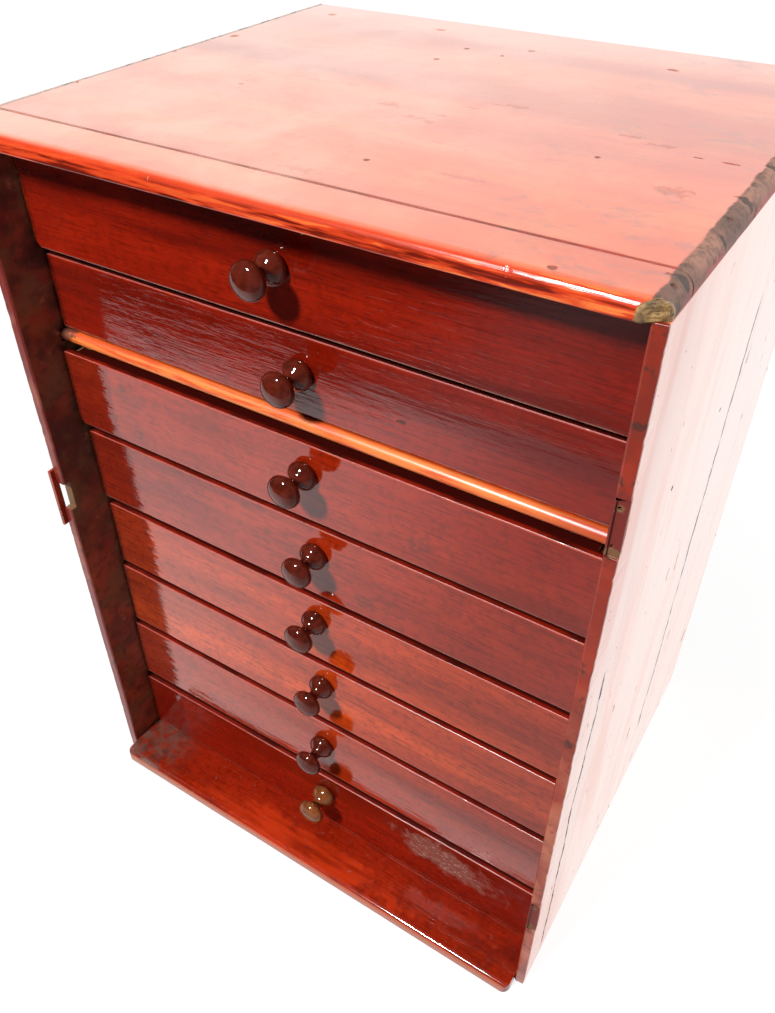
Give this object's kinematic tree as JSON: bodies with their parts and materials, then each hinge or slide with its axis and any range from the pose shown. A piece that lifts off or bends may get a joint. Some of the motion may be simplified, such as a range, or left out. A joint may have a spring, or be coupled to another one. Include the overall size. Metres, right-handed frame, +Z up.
{
  "type": "specimen chest",
  "caption": "Open-fronted table-top specimen chest with stacked full-width drawers, a turned knob on each, a rounded shelf between them, old hinge seats and a lock notch.",
  "frame": {"origin": "centre of the case's footprint, on the surface that it stands on", "axes": "+Z up; the open front faces -Y and the drawers slide out towards -Y; +X to the right of a viewer in front"},
  "size_m": [0.3585, 0.3182, 0.502],
  "materials": {
    "side_wood": "gloss varnish over red stain",
    "top_wood": "gloss varnish over red stain",
    "board_wood": "gloss varnish over red stain",
    "back_wood": "dull stain",
    "runner_wood": "bare wood",
    "keeper_wood": "gloss varnish over red stain",
    "nail_iron": "dull iron",
    "front_wood": "gloss varnish over red stain",
    "box_wood": "bare wood",
    "drawer_bottom_wood": "bare wood",
    "knob_wood": "gloss varnish over dark red stain"
  },
  "bodies": {
    "case": {"left_side": "side_wood", "right_side": "side_wood", "top_front_board": "top_wood", "top_rear_board": "top_wood", "bottom_board": "board_wood", "mid_shelf": "board_wood", "back_lower_board": "back_wood", "back_upper_board": "back_wood", "left_runners": "runner_wood", "right_runners": "runner_wood", "lock_keeper": "keeper_wood", "case_nails": "nail_iron"},
    "drawer_1": {"drawer_1_front": "front_wood", "drawer_1_left_side": "box_wood", "drawer_1_right_side": "box_wood", "drawer_1_back": "box_wood", "drawer_1_bottom": "drawer_bottom_wood", "drawer_1_knob": "knob_wood"},
    "drawer_2": {"drawer_2_front": "front_wood", "drawer_2_left_side": "box_wood", "drawer_2_right_side": "box_wood", "drawer_2_back": "box_wood", "drawer_2_bottom": "drawer_bottom_wood", "drawer_2_knob": "knob_wood"},
    "drawer_3": {"drawer_3_front": "front_wood", "drawer_3_left_side": "box_wood", "drawer_3_right_side": "box_wood", "drawer_3_back": "box_wood", "drawer_3_bottom": "drawer_bottom_wood", "drawer_3_knob": "knob_wood"},
    "drawer_4": {"drawer_4_front": "front_wood", "drawer_4_left_side": "box_wood", "drawer_4_right_side": "box_wood", "drawer_4_back": "box_wood", "drawer_4_bottom": "drawer_bottom_wood", "drawer_4_knob": "knob_wood"},
    "drawer_5": {"drawer_5_front": "front_wood", "drawer_5_left_side": "box_wood", "drawer_5_right_side": "box_wood", "drawer_5_back": "box_wood", "drawer_5_bottom": "drawer_bottom_wood", "drawer_5_knob": "knob_wood"},
    "drawer_6": {"drawer_6_front": "front_wood", "drawer_6_left_side": "box_wood", "drawer_6_right_side": "box_wood", "drawer_6_back": "box_wood", "drawer_6_bottom": "drawer_bottom_wood", "drawer_6_knob": "knob_wood"},
    "drawer_7": {"drawer_7_front": "front_wood", "drawer_7_left_side": "box_wood", "drawer_7_right_side": "box_wood", "drawer_7_back": "box_wood", "drawer_7_bottom": "drawer_bottom_wood", "drawer_7_knob": "knob_wood"},
    "drawer_8": {"drawer_8_front": "front_wood", "drawer_8_left_side": "box_wood", "drawer_8_right_side": "box_wood", "drawer_8_back": "box_wood", "drawer_8_bottom": "drawer_bottom_wood", "drawer_8_knob": "knob_wood"}
  },
  "joints": [
    {"name": "drawer_1_slide", "type": "slide", "parent": "case", "child": "drawer_1", "axis": [0, -1, 0], "range_m": [0, 0.21]},
    {"name": "drawer_2_slide", "type": "slide", "parent": "case", "child": "drawer_2", "axis": [0, -1, 0], "range_m": [0, 0.21]},
    {"name": "drawer_3_slide", "type": "slide", "parent": "case", "child": "drawer_3", "axis": [0, -1, 0], "range_m": [0, 0.21]},
    {"name": "drawer_4_slide", "type": "slide", "parent": "case", "child": "drawer_4", "axis": [0, -1, 0], "range_m": [0, 0.21]},
    {"name": "drawer_5_slide", "type": "slide", "parent": "case", "child": "drawer_5", "axis": [0, -1, 0], "range_m": [0, 0.21]},
    {"name": "drawer_6_slide", "type": "slide", "parent": "case", "child": "drawer_6", "axis": [0, -1, 0], "range_m": [0, 0.21]},
    {"name": "drawer_7_slide", "type": "slide", "parent": "case", "child": "drawer_7", "axis": [0, -1, 0], "range_m": [0, 0.21]},
    {"name": "drawer_8_slide", "type": "slide", "parent": "case", "child": "drawer_8", "axis": [0, -1, 0], "range_m": [0, 0.21]}
  ]
}
